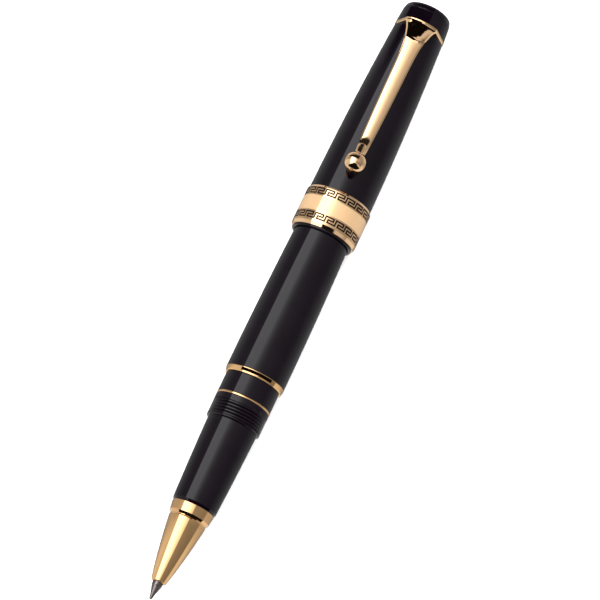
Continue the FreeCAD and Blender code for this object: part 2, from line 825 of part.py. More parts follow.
def check_document():
    """Stop if any object failed, or any piece is not one or more valid solids."""
    document.recompute()
    for item in document.Objects:
        if "Invalid" in item.State or "Error" in item.State:
            raise RuntimeError(f"{item.Label} failed: {item.State}")
    for piece in pieces:
        shape = piece.Shape
        if shape.isNull() or not shape.isValid() or not shape.Solids:
            raise RuntimeError(f"{piece.Label} has no valid solid")


def write_pieces():
    os.makedirs("parts", exist_ok=True)
    for piece in pieces:
        piece.Shape.exportStep(os.path.join("parts", f"{piece.Label}.step"))


def main():
    fill_sheet()
    s = Sizes()
    make_writing_ball(s)
    make_refill_tip(s)
    make_refill_body(s)
    make_nose(s)
    make_grip(s)
    make_thread_collar(s)
    make_sleeves(s)
    make_barrel(s)
    make_spring(s)
    make_cap_shell(s)
    make_cap_band(s)
    make_enamel(s, "band_meander_lower", s.enamel_lower_front, s.enamel_lower_back)
    make_enamel(s, "band_meander_upper", s.enamel_upper_front, s.enamel_upper_back)
    make_cap_inside(s)
    make_crown(s)
    make_clip_washer(s)
    make_clip_blade(s)
    make_clip_ball(s)
    check_document()
    write_pieces()
    print(len(pieces), "pieces written")


main()
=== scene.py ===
"""The finished look of a posted rollerball pen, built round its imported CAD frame.

Shapes are written in the pen's own measures, in millimetres. A station runs along the pen from the
writing ball to the crown, and radii are measured from the pen's axis. An azimuth of 0 is the top of
the pen as it lies, with the clip up. The pen's right is the side towards -Y.
"""

import math

import bpy
import numpy as np
from mathutils import Matrix, Vector


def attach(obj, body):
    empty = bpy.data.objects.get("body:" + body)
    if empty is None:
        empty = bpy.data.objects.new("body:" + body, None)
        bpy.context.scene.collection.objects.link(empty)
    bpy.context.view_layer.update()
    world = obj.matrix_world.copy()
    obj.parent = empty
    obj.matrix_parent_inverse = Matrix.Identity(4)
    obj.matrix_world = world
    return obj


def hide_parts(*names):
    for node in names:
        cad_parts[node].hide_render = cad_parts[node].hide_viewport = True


MM = 0.001
HALF_LENGTH = 76.175
AXIS_HEIGHT = 7.85
ON_AXIS = 1e-6  # radii up to this are on the axis

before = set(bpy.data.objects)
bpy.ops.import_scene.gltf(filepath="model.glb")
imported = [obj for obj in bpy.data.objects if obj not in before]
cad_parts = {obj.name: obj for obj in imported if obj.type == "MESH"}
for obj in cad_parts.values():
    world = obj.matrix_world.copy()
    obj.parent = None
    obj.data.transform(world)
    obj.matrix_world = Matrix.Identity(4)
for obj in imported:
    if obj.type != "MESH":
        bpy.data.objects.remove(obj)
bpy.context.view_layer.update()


# --- outlines ----------------------------------------------------------------------------

def bow(start, via, end, steps=20):
    """Points of the circle through three (station, radius) points, both ends included."""
    a, b, c = (complex(*point) for point in (start, via, end))
    ratio = (c - a) / (b - a)
    centre = a + (b - a) * (ratio - abs(ratio) ** 2) / (2j * ratio.imag)
    turn_via = math.remainder(np.angle((b - centre) / (a - centre)), math.tau)
    turn = math.remainder(np.angle((c - centre) / (a - centre)), math.tau)
    if turn * turn_via < 0:
        turn += math.copysign(math.tau, turn_via)
    spots = [centre + (a - centre) * np.exp(1j * turn * k / steps) for k in range(steps + 1)]
    return [(spot.real, spot.imag) for spot in spots]


def softened(outline, steps=4):
    """Round every corner that carries a third number, its rounding radius."""
    result = []
    for number, point in enumerate(outline):
        if len(point) == 2:
            result.append(point)
            continue
        here = np.array(point[:2])
        before = np.array(outline[number - 1][:2]) - here
        after = np.array(outline[(number + 1) % len(outline)][:2]) - here
        before, after = before / np.linalg.norm(before), after / np.linalg.norm(after)
        half = math.acos(np.clip(before @ after, -1, 1)) / 2
        centre = here + (before + after) / np.linalg.norm(before + after) * point[2] / math.sin(half)
        reach = point[2] / math.tan(half)
        first, last = here + before * reach - centre, here + after * reach - centre
        sweep = math.pi - 2 * half
        for k in range(steps + 1):
            share = k / steps * sweep
            spot = (math.sin(sweep - share) * first + math.sin(share) * last) / math.sin(sweep)
            result.append(tuple(centre + spot))
    return result


# --- meshes ------------------------------------------------------------------------------

def in_row_frame(points):
    """Station, across (towards +Y) and up, in mm, as points of the row frame in metres."""
    points = np.asarray(points, float)
    return (points + np.array([-HALF_LENGTH, 0.0, AXIS_HEIGHT])) * MM


def add_piece(name, points, faces, look, body, replaced, normals=None, sharp_degrees=40):
    """Make a mesh piece, give it its material and let it ride on its body."""
    mesh = bpy.data.meshes.new(name)
    mesh.from_pydata(in_row_frame(points).tolist(), [], faces)
    mesh.shade_smooth()
    if normals is None:
        mesh.set_sharp_from_angle(angle=math.radians(sharp_degrees))
    else:
        mesh.normals_split_custom_set(normals)
    mesh.materials.append(look["material"])
    piece = bpy.data.objects.new(name, mesh)
    bpy.context.scene.collection.objects.link(piece)
    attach(piece, body)
    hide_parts(*replaced)
    return piece


def outward(outline):
    """The outline turned so that its outside is on the right."""
    station, radius = np.array(outline).T
    area = np.sum(station * np.roll(radius, -1) - np.roll(station, -1) * radius)
    return outline if area > 0 else outline[::-1]


def corner_normals(outline, ring, sharp_degrees=35):
    """For each edge of the outline, the normals at its two ends; sharp corners keep the edge's own."""
    spots = np.array(outline)
    ends = np.roll(spots, -1, axis=0) if ring else spots[1:]
    starts = spots if ring else spots[:-1]
    edges = ends - starts
    lengths = np.linalg.norm(edges, axis=1)
    own = np.stack([edges[:, 1], -edges[:, 0]], axis=1) / lengths[:, None]
    count = len(own)
    at_start, at_end = own.copy(), own.copy()
    for k in range(count):
        after = (k + 1) % count
        if after == 0 and not ring:
            continue
        if own[k] @ own[after] > math.cos(math.radians(sharp_degrees)):
            blended = own[k] * lengths[k] + own[after] * lengths[after]
            at_end[k] = at_start[after] = blended / np.linalg.norm(blended)
    return at_start, at_end


def lathe(outline, segments=144, lift=0.0):
    """Points, faces and corner normals of an outline turned about an axis lifted above the pen's."""
    outline = outward(outline)
    ring = min(radius for _, radius in outline) > ON_AXIS
    if not ring:
        poles = [k for k, spot in enumerate(outline) if spot[1] <= ON_AXIS]
        after_pole = max(poles) if poles != [0, len(outline) - 1] else 0
        outline = outline[after_pole:] + outline[:after_pole]
    azimuths = np.arange(segments) * math.tau / segments
    sines, cosines = np.sin(azimuths), np.cos(azimuths)
    points, rows = [], []
    for station, radius in outline:
        first = len(points)
        if radius <= ON_AXIS:
            points.append((station, 0.0, lift))
            rows.append([first] * segments)
        else:
            points.extend((station, radius * s, radius * c + lift) for s, c in zip(sines, cosines))
            rows.append(list(range(first, first + segments)))
    at_start, at_end = corner_normals(outline, ring)
    faces, normals = [], []
    for k in range(len(at_start)):
        low, high = rows[k], rows[(k + 1) % len(rows)]
        if len(set(low)) == 1 and len(set(high)) == 1:
            continue
        for j in range(segments):
            after = (j + 1) % segments
            corners = [(low[j], at_start[k], j), (low[after], at_start[k], after),
                       (high[after], at_end[k], after), (high[j], at_end[k], j)]
            if low[j] == low[after]:
                corners.pop(1)
            if high[j] == high[after]:
                corners.pop(2)
            faces.append([corner[0] for corner in corners])
            normals.extend((n[0], n[1] * sines[i], n[1] * cosines[i]) for _, n, i in corners)
    return points, faces, normals


def turned(node, outline, look, body, segments=144, lift=0.0):
    """A turned piece that stands for the CAD node of the same name."""
    points, faces, normals = lathe(softened(outline), segments, lift)
    return add_piece(node + "_turned", points, faces, look, body, [node], normals)


def screw_surface(start, end, crest, depth, pitch, flank, fade, outside, rows=150, segments=120):
    """Radius grid of a right-handed V thread between two stations, faded out at both ends."""
    stations = np.linspace(start, end, rows)[:, None]
    azimuths = (np.arange(segments) * math.tau / segments)[None, :]
    phase = (stations - start) / pitch + azimuths / math.tau
    from_root = np.abs(phase - np.round(phase)) * pitch
    cut = np.clip(1 - from_root / flank, 0, 1)
    inside = np.clip(np.minimum(stations - start, end - stations) / fade, 0, 1)
    side = -1 if outside else 1
    radius = crest + side * depth * cut * inside
    return stations[:, 0], azimuths[0], radius


def threaded(node, before, thread, after, look, body, outside=True):
    """A turned piece whose outline has a screw thread between its two parts, before and after."""
    stations, azimuths, grid = screw_surface(outside=outside, **thread)
    segments = len(azimuths)
    rows = [(s, np.full(segments, r)) for s, r in before]
    rows += [(s, grid[k]) for k, s in enumerate(stations)]
    rows += [(s, np.full(segments, r)) for s, r in after]
    flat = [(s, float(np.mean(r))) for s, r in rows]
    if outward(flat) is not flat:
        rows = rows[::-1]
    points, faces = [], []
    for station, radius in rows:
        across, up = radius * np.sin(azimuths), radius * np.cos(azimuths)
        points.extend(zip(np.full(segments, station), across, up))
    for k in range(len(rows)):
        low, high = k * segments, (k + 1) % len(rows) * segments
        for j in range(segments):
            i = (j + 1) % segments
            faces.append([low + j, low + i, high + i, high + j])
    return add_piece(node + "_threaded", points, faces, look, body, [node], sharp_degrees=55)


# --- materials ---------------------------------------------------------------------------

def node_tree(name):
    material = bpy.data.materials.new(name)
    material.use_nodes = True
    return material, material.node_tree.nodes, material.node_tree.links


def math_node(nodes, links, operation, *inputs):
    """A Math node; each input is a number or a socket."""
    node = nodes.new("ShaderNodeMath")
    node.operation = operation
    for socket, value in zip(node.inputs, inputs):
        if isinstance(value, (int, float)):
            socket.default_value = value
        else:
            links.new(value, socket)
    return node.outputs[0]


def noise(nodes, links, scale, detail, stretch=(1.0, 1.0, 1.0)):
    """Noise over the piece's own place in metres, stretched along the pen or round it."""
    where = nodes.new("ShaderNodeTexCoord")
    mapping = nodes.new("ShaderNodeMapping")
    mapping.inputs["Scale"].default_value = stretch
    texture = nodes.new("ShaderNodeTexNoise")
    texture.inputs["Scale"].default_value = scale
    texture.inputs["Detail"].default_value = detail
    links.new(where.outputs["Object"], mapping.inputs["Vector"])
    links.new(mapping.outputs["Vector"], texture.inputs["Vector"])
    return texture.outputs["Fac"]


def spread(nodes, links, source, low, high):
    """Map a noise of about 0.3 to 0.7 to a range."""
    ranged = nodes.new("ShaderNodeMapRange")
    ranged.inputs["From Min"].default_value = 0.3
    ranged.inputs["From Max"].default_value = 0.7
    ranged.inputs["To Min"].default_value = low
    ranged.inputs["To Max"].default_value = high
    links.new(source, ranged.inputs["Value"])
    return ranged.outputs["Result"]


def two_tone(nodes, links, source, first, second):
    """A colour that drifts between two tones with a noise."""
    ramp = nodes.new("ShaderNodeValToRGB")
    ramp.color_ramp.elements[0].position = 0.3
    ramp.color_ramp.elements[1].position = 0.7
    ramp.color_ramp.elements[0].color = (*first, 1)
    ramp.color_ramp.elements[1].color = (*second, 1)
    links.new(source, ramp.inputs["Fac"])
    return ramp.outputs["Color"]


def look(slot, tones, metallic, rough, grain, stretch=(1, 1, 1), ior=1.5):
    """A material whose colour and roughness drift gently with one noise."""
    material, nodes, links = node_tree(slot)
    shader = nodes["Principled BSDF"]
    shader.inputs["Metallic"].default_value = metallic
    shader.inputs["IOR"].default_value = ior
    drift = noise(nodes, links, grain, 3.0, stretch)
    links.new(two_tone(nodes, links, drift, *tones), shader.inputs["Base Color"])
    links.new(spread(nodes, links, drift, *rough), shader.inputs["Roughness"])
    return {"material": material, "slot": slot}


def metal(slot, tones, rough, grain, stretch=(1, 1, 1)):
    return look(slot, tones, 1.0, rough, grain, stretch)


def plastic(slot, tones, rough, grain, stretch=(1, 1, 1), ior=1.5):
    return look(slot, tones, 0.0, rough, grain, stretch, ior)


CAP_GOLD_TONES = [(0.93, 0.60, 0.325), (0.96, 0.63, 0.36)]
FRONT_GOLD_TONES = [(0.90, 0.545, 0.25), (0.93, 0.57, 0.27)]
COAT_TONES = [(0.54, 0.35, 0.18), (0.60, 0.39, 0.21)]
COAT_SHARE = 0.55
PANEL = (95.45, 99.15)  # the stations between which the band has its matt coat


def gold_plate(tones):
    return metal("gold_plate", tones, (0.02, 0.05), 700.0, (0.6, 1, 1))


def make_band_gold():
    """Polished gold, mixed with a matt coat over the plain panel round the middle of the band."""
    gold = gold_plate(CAP_GOLD_TONES)
    nodes, links = gold["material"].node_tree.nodes, gold["material"].node_tree.links
    polished = nodes["Principled BSDF"]
    coat = nodes.new("ShaderNodeBsdfPrincipled")
    coat.inputs["Metallic"].default_value = 0.0
    grain = noise(nodes, links, 9000.0, 3.0, (0.25, 1, 1))
    links.new(spread(nodes, links, grain, 0.42, 0.58), coat.inputs["Roughness"])
    links.new(two_tone(nodes, links, grain, *COAT_TONES), coat.inputs["Base Color"])
    where = nodes.new("ShaderNodeTexCoord")
    axes = nodes.new("ShaderNodeSeparateXYZ")
    links.new(where.outputs["Object"], axes.inputs["Vector"])
    middle = (sum(PANEL) / 2 - HALF_LENGTH) * MM
    half = (PANEL[1] - PANEL[0]) / 2 * MM
    offset = math_node(nodes, links, "SUBTRACT", axes.outputs["X"], middle)
    inside = math_node(nodes, links, "LESS_THAN", math_node(nodes, links, "ABSOLUTE", offset), half)
    mix = nodes.new("ShaderNodeMixShader")
    links.new(math_node(nodes, links, "MULTIPLY", inside, COAT_SHARE), mix.inputs["Fac"])
    links.new(polished.outputs["BSDF"], mix.inputs[1])
    links.new(coat.outputs["BSDF"], mix.inputs[2])
    links.new(mix.outputs["Shader"], nodes["Material Output"].inputs["Surface"])
    return gold


RESIN = plastic(
    "black_resin", [(0.0016, 0.0006, 0.0018), (0.0026, 0.0012, 0.0028)], (0.02, 0.04), 260.0, ior=1.345)
GOLD = gold_plate(FRONT_GOLD_TONES)
CAP_GOLD = gold_plate(CAP_GOLD_TONES)
BAND_GOLD = make_band_gold()
ENAMEL = plastic(
    "dark_enamel", [(0.003, 0.001, 0.0008), (0.005, 0.002, 0.0015)], (0.25, 0.35), 1500.0, ior=1.2)
LINER = plastic("liner_plastic", [(0.02, 0.02, 0.022), (0.03, 0.03, 0.032)], (0.35, 0.5), 500.0)
COUPLING = metal("coupling_brass", [(0.72, 0.50, 0.22), (0.80, 0.58, 0.28)], (0.18, 0.28), 900.0, (4, 1, 1))
STEEL = metal("tip_steel", [(0.15, 0.13, 0.125), (0.20, 0.175, 0.17)], (0.12, 0.2), 3000.0, (3, 1, 1))
REFILL_PLASTIC = plastic("refill_plastic", [(0.75, 0.75, 0.73), (0.82, 0.82, 0.80)], (0.3, 0.42), 500.0)
REFILL_METAL = metal(
    "refill_metal", [(0.66, 0.66, 0.67), (0.74, 0.74, 0.75)], (0.2, 0.3), 600.0, (0.2, 1, 1))
INK_FIBRE = plastic("ink_fibre", [(0.02, 0.02, 0.05), (0.05, 0.05, 0.10)], (0.8, 0.95), 4000.0, (0.1, 1, 1))
WIRE = metal("spring_wire", [(0.50, 0.50, 0.51), (0.58, 0.58, 0.59)], (0.2, 0.3), 2000.0)
CARBIDE = metal("carbide", [(0.30, 0.29, 0.28), (0.36, 0.35, 0.34)], (0.15, 0.25), 5000.0)


# --- front section -----------------------------------------------------------------------

TIP_BORE = 0.5
SPIGOT = 4.07
NOSE_FRONT = 4.23
GRIP_FRONT = 22.65
GRIP_BACK = 43.38
COLLAR_BACK = 48.97
SPACER_FRONT = 49.43
SPACER_BACK = 54.29
SLEEVE = 6.435
CAP_PITCH = 0.75


def make_refill_tip():
    """Steel tip: a rim turned in over the ball, a slim cone, a waist and a bright collar."""
    turned("refill_tip", [
        (0.17, 0.255), (0.60, 0.10), (1.8, 0.10), (12.0, TIP_BORE), (12.0, 0.90), (8.6, 0.90),
        (8.6, 1.20, 0.05), (3.45, 1.20, 0.05), (3.25, 1.12, 0.05), (1.25, 0.53, 0.2), (0.62, 0.415, 0.05),
        (0.42, 0.37, 0.05), (0.17, 0.285, 0.02),
    ], STEEL, "refill", 72)


def make_nose():
    """Polished nose cone, and the ring behind it whose front chamfer makes the dark line."""
    flank = bow((NOSE_FRONT, 1.72), (11.5, 3.20), (19.35, 4.36), 24)
    turned("nose_cone", [
        (NOSE_FRONT, 1.30), (28.0, 1.30), (28.0, 4.05), (19.62, 4.05), (19.62, 4.26, 0.03),
        (19.40, 4.36, 0.06), *flank[-2:0:-1], (NOSE_FRONT, 1.72, 0.28),
    ], GOLD, "section", 160)
    turned("nose_ring", [
        (19.70, SPIGOT), (22.63, SPIGOT), (22.63, 4.99, 0.05), (20.42, 4.72, 0.06), (19.86, 4.28, 0.03),
        (19.70, 4.20),
    ], GOLD, "section", 160)


def make_grip():
    """Resin grip with a slow swell and a small chamfer behind the nose ring."""
    flank = bow((GRIP_FRONT, 5.20), (33.0, 5.61), (GRIP_BACK, 5.92), 24)
    turned("grip_section", [
        (GRIP_FRONT, SPIGOT), (48.95, SPIGOT), (48.95, 5.30), (GRIP_BACK, 5.30), (GRIP_BACK, 5.92, 0.04),
        *flank[-2:1:-1], (23.32, 5.225, 0.15), (22.70, 4.87, 0.08), (GRIP_FRONT, 4.80, 0.04),
    ], RESIN, "section", 160)


def make_collar():
    """Sleeve with the cap's thread, the thin gold ring and the smooth spacer behind it."""
    front = softened([(COLLAR_BACK, 5.32), (43.40, 5.32), (43.40, SLEEVE, 0.42), (43.90, SLEEVE)])[:-1]
    thread = {"start": 43.88, "end": 47.55, "crest": SLEEVE, "depth": 0.29, "pitch": CAP_PITCH,
              "flank": 0.23, "fade": 0.06}
    back = [(48.82, SLEEVE), (48.89, SLEEVE), (COLLAR_BACK, SLEEVE - 0.05)]
    threaded("thread_collar", front, thread, back, RESIN, "section")
    turned("collar_ring", [
        (COLLAR_BACK, 4.62), (SPACER_FRONT, 4.62), (SPACER_FRONT, 6.50, 0.12), (COLLAR_BACK, 6.50, 0.12),
    ], GOLD, "section", 160)
    turned("spacer_sleeve", [
        (SPACER_FRONT, 4.62), (SPACER_BACK, 4.62), (SPACER_BACK, SLEEVE, 0.06), (SPACER_FRONT, SLEEVE, 0.05),
    ], RESIN, "section", 160)


def make_nipple():
    """Brass nipple with the thread that screws into the barrel."""
    thread = {"start": 54.9, "end": 61.9, "crest": 4.40, "depth": 0.42, "pitch": 1.0, "flank": 0.44,
              "fade": 0.4}
    before = [(62.3, 3.36), (41.02, 3.36), (41.02, 4.60), (SPACER_BACK, 4.60), (54.31, 4.05), (54.80, 4.05)]
    threaded("section_nipple", before, thread, [(62.1, 4.25), (62.3, 4.10)], COUPLING, "section")


# --- barrel ------------------------------------------------------------------------------

BARREL_FRONT = 55.57
BARREL_MOUTH = 7.06
BARREL_BORE = 5.62
TAIL = (113.0, 5.72)
BUSH_BACK = 64.5


def make_barrel():
    """Barrel tube with a domed tail, the gold ring before it and the brass bush in its mouth."""
    flank = bow((BARREL_FRONT, BARREL_MOUTH), (86.7, 6.68), TAIL, 40)
    dome = bow(TAIL, (115.75, 4.95), (117.0, 3.2), 10)
    turned("barrel_tube", [
        (64.52, BARREL_BORE), (64.52, 3.60), (114.5, 3.60), (114.5, 0.0), (117.0, 0.0),
        *dome[:0:-1], *flank[:0:-1], (BARREL_FRONT, BARREL_MOUTH, 0.05), (BARREL_FRONT, BARREL_BORE),
    ], RESIN, "barrel", 192)
    face = bow((54.62, 6.862), (55.0, 6.945), (55.42, 7.035), 8)
    turned("barrel_ring", [
        (54.33, 4.90), (54.33, 6.75, 0.05), (54.38, 6.79), *face, (55.50, 7.046), (55.56, 7.046),
        (55.56, 4.90),
    ], GOLD, "barrel", 192)
    turned("barrel_bush", [
        (55.58, 4.50), (BUSH_BACK, 4.50), (BUSH_BACK, 5.60), (55.58, 5.60),
    ], COUPLING, "barrel", 96)


# --- cap ---------------------------------------------------------------------------------

CAP_FRONT = 91.57
CAP_BACK = 146.05
BAND_SEAT = 7.16
BAND = 7.85


def make_cap_shell():
    """Black cap tube with its inside thread, which screws onto the collar."""
    flank = bow((101.78, 7.53), (124.2, 7.06), (CAP_BACK, 6.04), 36)
    seat = BAND_SEAT - 0.02
    around = softened([
        (CAP_FRONT, 6.76), (CAP_FRONT, 7.30, 0.18), (92.05, 7.30), (92.05, seat), (101.78, seat),
        *flank[:-1], (CAP_BACK, 6.04, 0.08), (CAP_BACK, 3.54), (143.02, 3.54), (143.02, 5.18),
        (117.5, 6.04), (103.5, 6.49),
    ])
    from_bore_to_mouth = around[:0:-1]
    thread = {"start": 98.4, "end": 103.3, "crest": 6.48, "depth": 0.24, "pitch": CAP_PITCH,
              "flank": 0.33, "fade": 0.25}
    front = [(CAP_FRONT, 6.76), (98.2, 6.76), (98.35, 6.50)]
    threaded("cap_shell", front, thread, from_bore_to_mouth, RESIN, "cap", outside=False)


def make_cap_band():
    """Gold band with a front bevel and a softly rounded back edge."""
    turned("cap_band", [
        (92.07, BAND_SEAT), (92.07, 7.52, 0.06), (92.86, BAND, 0.05), (101.32, BAND, 0.10),
        (101.75, 7.64, 0.05), (101.75, BAND_SEAT),
    ], BAND_GOLD, "cap", 240)


# One repeat of the running key pattern, as shares of its pitch and of the row's height.
KEY_PATH = [(0.0, 0.0), (0.0, 1.0), (0.76, 1.0), (0.76, 0.5), (0.27, 0.5), (0.27, 0.0), (1.0, 0.0)]
KEY_START = -0.296  # where the first repeat begins, in pitches to the right of the pen's top
KEY_COUNT = 19
KEY_LINE = 0.37
KEY_SEAT = 7.80
KEY_TOP = 7.856
KEY_FACET = 0.15  # longest chord of a stroke
KEY_ROWS = {"band_meander_lower": (93.42, 95.10), "band_meander_upper": (99.48, 101.15)}


def key_strip(points, faces, low, high, pitch, base):
    """One straight stroke of the pattern, as a thin curved box let into the band."""
    (x0, y0), (x1, y1) = low, high
    columns = max(1, math.ceil((x1 - x0) / KEY_FACET))
    first = len(points)
    for k in range(columns + 1):
        azimuth = (x0 + (x1 - x0) * k / columns) / (KEY_COUNT * pitch) * math.tau
        for station, radius in ((y0, KEY_SEAT), (y1, KEY_SEAT), (y1, KEY_TOP), (y0, KEY_TOP)):
            points.append((base + station, -radius * math.sin(azimuth), radius * math.cos(azimuth)))
    for k in range(columns):
        here, there = first + 4 * k, first + 4 * (k + 1)
        for side in range(4):
            after = (side + 1) % 4
            faces.append([here + side, there + side, there + after, here + after])
    last = first + 4 * columns
    faces.append([first, first + 1, first + 2, first + 3])
    faces.append([last + 3, last + 2, last + 1, last])


def make_key_row(node, front, back):
    """A running key pattern round the band, drawn with one unbroken line."""
    pitch = math.tau * BAND / KEY_COUNT
    height = back - front - KEY_LINE
    half = KEY_LINE / 2
    points, faces = [], []
    for number in range(KEY_COUNT):
        path = [((number + KEY_START + x) * pitch, y * height) for x, y in KEY_PATH]
        for (xa, ya), (xb, yb) in zip(path, path[1:]):
            along_x, along_y = np.sign(xb - xa), np.sign(yb - ya)
            start = (xa - half * along_x, ya - half * along_y)
            end = (xb - half * along_x, yb - half * along_y)
            wide_x, wide_y = half * abs(along_y), half * abs(along_x)
            low = (min(start[0], end[0]) - wide_x, min(start[1], end[1]) - wide_y)
            high = (max(start[0], end[0]) + wide_x, max(start[1], end[1]) + wide_y)
            key_strip(points, faces, low, high, pitch, front + half)
    add_piece(node + "_inlay", points, faces, ENAMEL, "cap", [node])


CROWN_FRONT = 146.75
CROWN_TOP = 152.35


def make_crown():
    """Crown with a fine groove under its rounded top edge."""
    top_round = bow((151.10, 5.68), (151.98, 5.37), (CROWN_TOP, 4.80), 10)
    turned("cap_crown", [
        (150.02, 0.0), (150.02, 3.52), (CROWN_FRONT, 3.52), (CROWN_FRONT, 6.12, 0.06), (150.58, 5.83, 0.05),
        (150.66, 5.70), (150.76, 5.70), (150.84, 5.78, 0.04), *top_round, (CROWN_TOP, 0.0),
    ], RESIN, "cap", 192)


def make_liner():
    """Inner cap that seals the tip."""
    turned("cap_liner", [
        (117.6, 5.55), (142.3, 4.60), (142.3, 2.30), (142.98, 2.30), (142.98, 5.18), (117.6, 6.04, 0.1),
    ], LINER, "cap", 96)


# --- clip --------------------------------------------------------------------------------

WASHER_FRONT = 146.08
WASHER_BACK = 146.73
WASHER_RADIUS = 6.15
WASHER_HOLE = 3.54
BAR_CORNER = (3.70, 7.40)
BAR_FRONT = 8.60
BAR_ROUNDING = 0.22


def washer_outline():
    """Across and up of the washer's rim: a round back, two straight wings and the bowed bar."""
    across, up = BAR_CORNER
    foot = math.atan2(up, across) - math.acos(WASHER_RADIUS / math.hypot(across, up))
    bar = bow((across, up), (0.0, BAR_FRONT), (-across, up), 24)
    left_foot = math.pi - foot
    arc = np.linspace(left_foot, foot + math.tau, 72)
    back = [(WASHER_RADIUS * math.cos(a), WASHER_RADIUS * math.sin(a)) for a in arc]
    corners = [(*bar[0], BAR_ROUNDING), *bar[1:-1], (*bar[-1], BAR_ROUNDING)]
    return softened([*corners, *back], 6)


def make_washer():
    """Sheet-metal washer between cap and crown; its rim is softly rounded."""
    rim = np.array(washer_outline())
    ahead, behind = np.roll(rim, -1, axis=0), np.roll(rim, 1, axis=0)
    along = ahead - behind
    normal = np.stack([along[:, 1], -along[:, 0]], axis=1)
    normal /= np.linalg.norm(normal, axis=1)[:, None]
    hole = rim / np.linalg.norm(rim, axis=1)[:, None] * WASHER_HOLE
    # Station and distance inside the rim, which is None at the hole.
    front, back = WASHER_FRONT, WASHER_BACK
    profile = [(front, None), (front, 0.26), (front + 0.03, 0.20), (front + 0.09, 0.17),
               (front + 0.50, 0.01), (front + 0.56, 0.0), (back - 0.03, 0.0), (back, 0.04), (back, None)]
    points, faces = [], []
    for station, inset in profile:
        row = hole if inset is None else rim - normal * inset
        points.extend((station, across, up) for across, up in row)
    count = len(rim)
    for k in range(len(profile)):
        low, high = k * count, (k + 1) % len(profile) * count
        for j in range(count):
            i = (j + 1) % count
            faces.append([low + j, low + i, high + i, high + j])
    add_piece("clip_washer_pressed", points, faces, CAP_GOLD, "cap", ["clip_washer"], sharp_degrees=50)


# Station, half width, and heights of the back, of the face at its edge and of the face in the middle.
BLADE = [
    (110.20, 1.10, 9.30, 9.62, 9.92),
    (111.20, 1.18, 8.86, 9.12, 9.46),
    (112.60, 1.26, 8.20, 8.44, 8.72),
    (113.70, 1.31, 7.83, 8.02, 8.29),
    (114.80, 1.36, 7.62, 7.76, 8.02),
    (119.00, 1.52, 7.38, 7.51, 7.76),
    (128.00, 1.73, 7.02, 7.15, 7.40),
    (137.00, 1.88, 6.61, 6.73, 6.98),
    (140.20, 2.04, 6.47, 6.58, 6.82),
    (141.40, 2.19, 6.44, 6.56, 6.78),
    (142.20, 2.35, 6.45, 6.59, 6.90),
    (143.10, 2.57, 6.50, 6.72, 7.24),
    (144.10, 2.86, 6.59, 6.93, 7.68),
    (145.10, 3.22, 6.72, 7.16, 8.14),
    (145.62, 3.50, 6.78, 7.28, 8.37),
    (146.06, 3.95, 6.84, 7.40, 8.57),
]


def eased(places, values, where):
    """Monotone cubic through the given values, so that the blade has no ripples."""
    steps = np.diff(places)
    slopes = np.diff(values) / steps
    ends = np.zeros(len(values))
    for k in range(1, len(values) - 1):
        if slopes[k - 1] * slopes[k] > 0:
            before, after = steps[k - 1], steps[k]
            weights = (2 * after + before, after + 2 * before)
            ends[k] = sum(weights) / (weights[0] / slopes[k - 1] + weights[1] / slopes[k])
    ends[0], ends[-1] = slopes[0], slopes[-1]
    k = np.clip(np.searchsorted(places, where) - 1, 0, len(slopes) - 1)
    t = (where - places[k]) / steps[k]
    rise = values[k] * (1 + 2 * t) * (1 - t) ** 2 + values[k + 1] * t * t * (3 - 2 * t)
    return rise + steps[k] * t * (1 - t) * (ends[k] * (1 - t) - ends[k + 1] * t)


BLADE_BEVEL = 0.32


def blade_ring(half, back, edge, front, steps=14):
    """One cross-section: a flat back, a bowed face, and a narrow bevel along each side."""
    face = half - BLADE_BEVEL
    shoulder = front - (front - edge) * (face / half) ** 2
    right = [(half - 0.03, back), (half, back + 0.02)]
    for rest in (1.0, 0.67, 0.33, 0.0):
        right.append((face + 0.07 * rest, shoulder - 0.035 * rest ** 2 - 0.02 * rest))
    places = [face * (1 - 2 * k / steps) for k in range(1, steps)]
    middle = [(across, front - (front - edge) * (across / half) ** 2) for across in places]
    return right + middle + [(-across, up) for across, up in right[::-1]]


def make_blade():
    """The blade, drawn from the bar down to the ball through its cross-sections."""
    table = np.array(BLADE)
    neck_end, flare_start = 115.5, 140.0
    stations = np.unique(np.concatenate([np.linspace(table[0, 0], neck_end, 28),
                                         np.linspace(neck_end, flare_start, 36),
                                         np.linspace(flare_start, table[-1, 0], 44)]))
    columns = [eased(table[:, 0], table[:, k], stations) for k in range(1, 5)]
    rings = [blade_ring(*values) for values in zip(*columns)]
    count = len(rings[0])
    points = [(s, across, up) for s, ring in zip(stations, rings) for across, up in ring]
    faces = []
    for k in range(len(rings) - 1):
        low, high = k * count, (k + 1) * count
        for j in range(count):
            i = (j + 1) % count
            faces.append([low + j, low + i, high + i, high + j])
    last = (len(rings) - 1) * count
    faces.append(list(range(count))[::-1])
    faces.append([last + j for j in range(count)])
    add_piece("clip_blade_formed", points, faces, CAP_GOLD, "clip", ["clip_blade"], sharp_degrees=28)


def make_ball():
    """Ball end with a short, slim neck under the blade."""
    centre, radius, height = 108.6, 2.5, 10.05
    angles = np.linspace(math.pi, 0.56, 34)
    sphere = [(centre + radius * math.cos(a), radius * math.sin(a)) for a in angles]
    sphere[0] = (centre - radius, 0.0)
    neck = [(111.0, 1.16), (111.6, 1.06), (112.3, 1.0), (112.9, 0.95), (113.2, 0.75), (113.3, 0.0)]
    turned("clip_ball", sphere + neck, CAP_GOLD, "clip", 96, height)


# --- CAD nodes that keep their meshes ----------------------------------------------------

KEPT = {
    "writing_ball": CARBIDE,
    "refill_nose": REFILL_PLASTIC,
    "refill_tube": REFILL_METAL,
    "refill_reservoir": INK_FIBRE,
    "refill_end_plug": REFILL_PLASTIC,
    "refill_spring": WIRE,
    "crown_screw": COUPLING,
}


